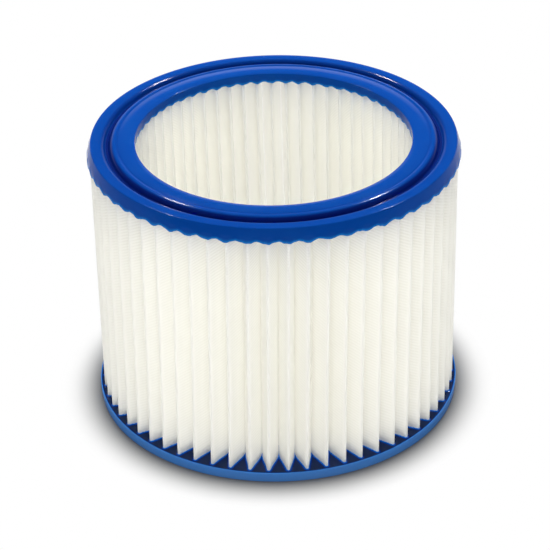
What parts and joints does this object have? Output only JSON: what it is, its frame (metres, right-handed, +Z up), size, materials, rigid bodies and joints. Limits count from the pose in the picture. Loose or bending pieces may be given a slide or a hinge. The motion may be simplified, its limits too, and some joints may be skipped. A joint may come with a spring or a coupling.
{
  "type": "vacuum cleaner filter",
  "caption": "Cylindrical pleated cartridge filter with a cast ring potted on each end, a seal groove and bead in the top ring and an open core, for a wet and dry vacuum cleaner.",
  "frame": {"origin": "middle of the base ring's underside, on the filter's axis", "axes": "+Z up along the filter's axis, from the base ring to the top ring"},
  "size_m": [0.185, 0.185, 0.1423],
  "materials": {
    "cast_resin": "satin to gloss blue cast polyurethane",
    "fleece": "warm white needled polyester fleece with fine ribs across the folds"
  },
  "bodies": {
    "root": {"top_ring": "cast_resin", "pleated_media": "fleece", "bottom_ring": "cast_resin"}
  },
  "joints": []
}
